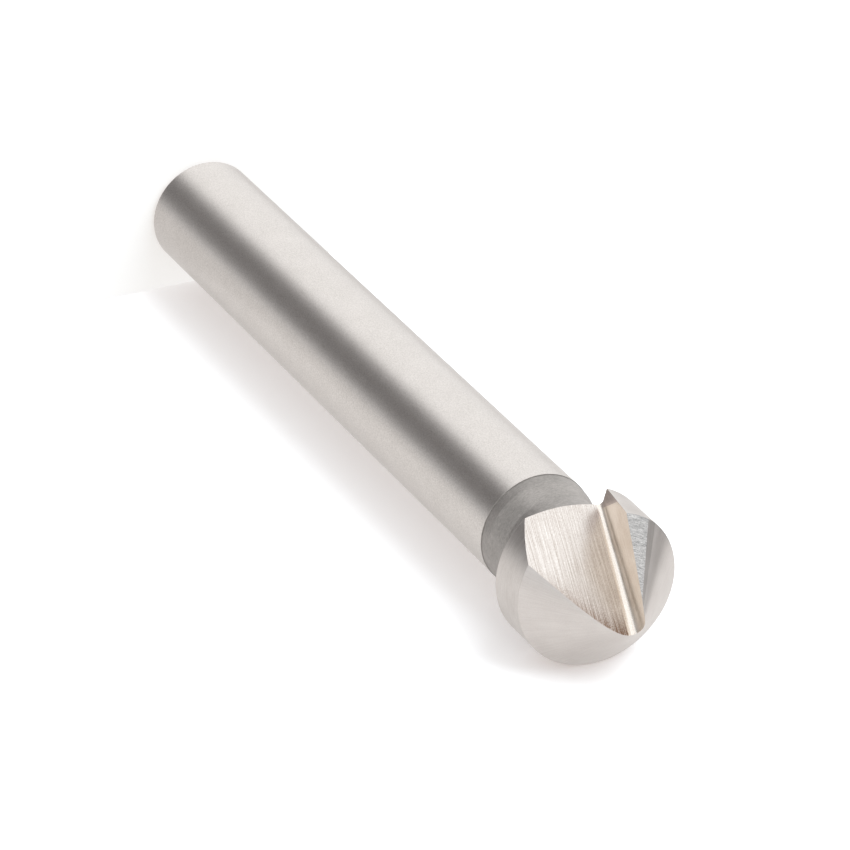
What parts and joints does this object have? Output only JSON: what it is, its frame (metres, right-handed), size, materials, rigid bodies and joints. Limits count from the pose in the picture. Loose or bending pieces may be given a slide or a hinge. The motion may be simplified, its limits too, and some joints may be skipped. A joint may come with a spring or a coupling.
{
  "type": "countersink bit",
  "caption": "One-piece steel countersink bit with a plain round shank, a turned neck and a conical cutting head with a single slanting flute.",
  "frame": {"origin": "centre of the shank's end face, which the tool stands on", "axes": "+Z runs along the tool from the shank's end to the point, +X points to the outer end of the cutting edge, +Y completes the right-handed frame"},
  "size_m": [0.0082, 0.0082, 0.0495],
  "materials": {
    "ground_steel": "satin ground"
  },
  "bodies": {
    "root": {"countersink_bit": "ground_steel"}
  },
  "joints": []
}
